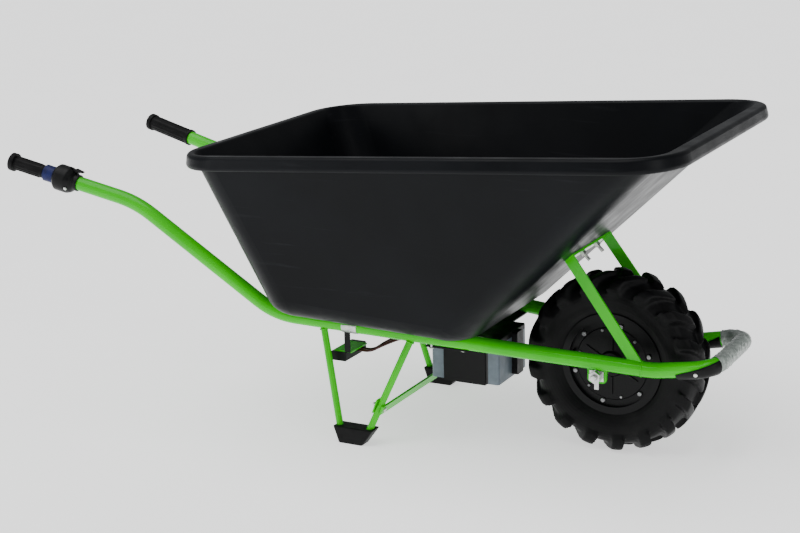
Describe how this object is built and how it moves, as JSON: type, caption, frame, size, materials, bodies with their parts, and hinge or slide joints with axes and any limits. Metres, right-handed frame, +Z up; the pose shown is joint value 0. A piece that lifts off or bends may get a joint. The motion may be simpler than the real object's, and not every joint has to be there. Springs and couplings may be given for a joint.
{
  "type": "power wheelbarrow",
  "caption": "Single-wheel electric wheelbarrow: black moulded tub on a green tube frame, hub-motor wheel with a lugged tyre, twist throttle, battery box, legs and feet.",
  "frame": {"origin": "on the ground, in the middle of the overall box", "axes": "+X forward, towards the wheel; +Y to the operator's left; +Z up"},
  "size_m": [1.7298, 0.7664, 0.7453],
  "materials": {
    "green_powder_coat": "gloss powder coat",
    "black_polyethylene": "semi-gloss moulded",
    "zinc_plated_steel": "zinc plate",
    "black_rubber": "matt",
    "tyre_rubber": "matt",
    "black_painted_steel": "satin black",
    "black_aluminium": "satin black",
    "black_plastic": "fine grain",
    "grey_plastic": "smooth",
    "navy_plastic": "smooth",
    "grey_wrap": "wrinkled film",
    "battery_cell": "plain",
    "iron_and_copper": "laminated",
    "magnet": "plain",
    "circuit_board": "plain",
    "cable_sheath": "semi-gloss",
    "valve_rubber": "matt"
  },
  "bodies": {
    "frame": {"axle": "zinc_plated_steel", "axle_lugs": "green_powder_coat", "axle_nuts": "zinc_plated_steel", "axle_spacers": "zinc_plated_steel", "axle_torque_washers": "zinc_plated_steel", "axle_washers": "zinc_plated_steel", "battery_case": "grey_plastic", "battery_cells": "battery_cell", "battery_cradle": "black_painted_steel", "battery_lid": "black_plastic", "battery_plug_box": "black_plastic", "controller": "black_aluminium", "controller_hanger": "black_painted_steel", "controller_plate": "green_powder_coat", "cradle_bolts": "zinc_plated_steel", "cross_bar_bolts": "zinc_plated_steel", "cross_bar_nuts": "zinc_plated_steel", "cross_bar_saddles": "green_powder_coat", "floor_straps": "green_powder_coat", "front_hoop": "green_powder_coat", "front_legs": "green_powder_coat", "front_loop_tube": "green_powder_coat", "hall_sensor_board": "circuit_board", "housing_screw": "zinc_plated_steel", "left_foot": "black_rubber", "left_grip": "black_rubber", "left_side_tube": "green_powder_coat", "leg_cross_bar": "green_powder_coat", "lever_pin": "zinc_plated_steel", "negative_lead": "cable_sheath", "nose_guard_screws": "zinc_plated_steel", "nose_guards": "black_plastic", "nose_wrap": "grey_wrap", "positive_lead": "cable_sheath", "rail_clamp": "zinc_plated_steel", "rear_legs": "green_powder_coat", "return_spring": "magnet", "right_foot": "black_rubber", "right_side_tube": "green_powder_coat", "stator": "iron_and_copper", "throttle_bar": "black_painted_steel", "throttle_housing": "black_plastic", "tub": "black_polyethylene", "tub_bolts": "zinc_plated_steel", "tub_nuts": "zinc_plated_steel", "tub_washers": "zinc_plated_steel"},
    "wheel": {"tyre": "tyre_rubber", "rim": "black_painted_steel", "rim_bolts": "zinc_plated_steel", "tyre_valve": "valve_rubber", "motor_shell": "black_aluminium", "magnet_ring": "magnet", "right_motor_cover": "black_aluminium", "left_motor_cover": "black_aluminium", "motor_cover_screws": "zinc_plated_steel", "wheel_bearings": "zinc_plated_steel"},
    "twist_throttle": {"twist_grip": "black_rubber", "throttle_collar": "navy_plastic", "throttle_magnet": "magnet"},
    "lever": {"direction_lever": "black_plastic"}
  },
  "joints": [
    {"name": "wheel_spin", "type": "hinge", "parent": "frame", "child": "wheel", "pos_m": [0.58592, 0, 0.205], "axis": [0, 1, 0], "continuous": true},
    {"name": "throttle_twist", "type": "hinge", "parent": "frame", "child": "twist_throttle", "pos_m": [-0.86008, -0.28611, 0.60059], "axis": [0.9669, 0.1057, -0.2321], "range_deg": [0, 70], "stiffness_Nm_per_rad": 0.3},
    {"name": "direction_lever_tilt", "type": "hinge", "parent": "frame", "child": "lever", "pos_m": [-0.69016, -0.26753, 0.58447], "axis": [0.1087, -0.9941, 0], "range_deg": [-8, 8]}
  ]
}
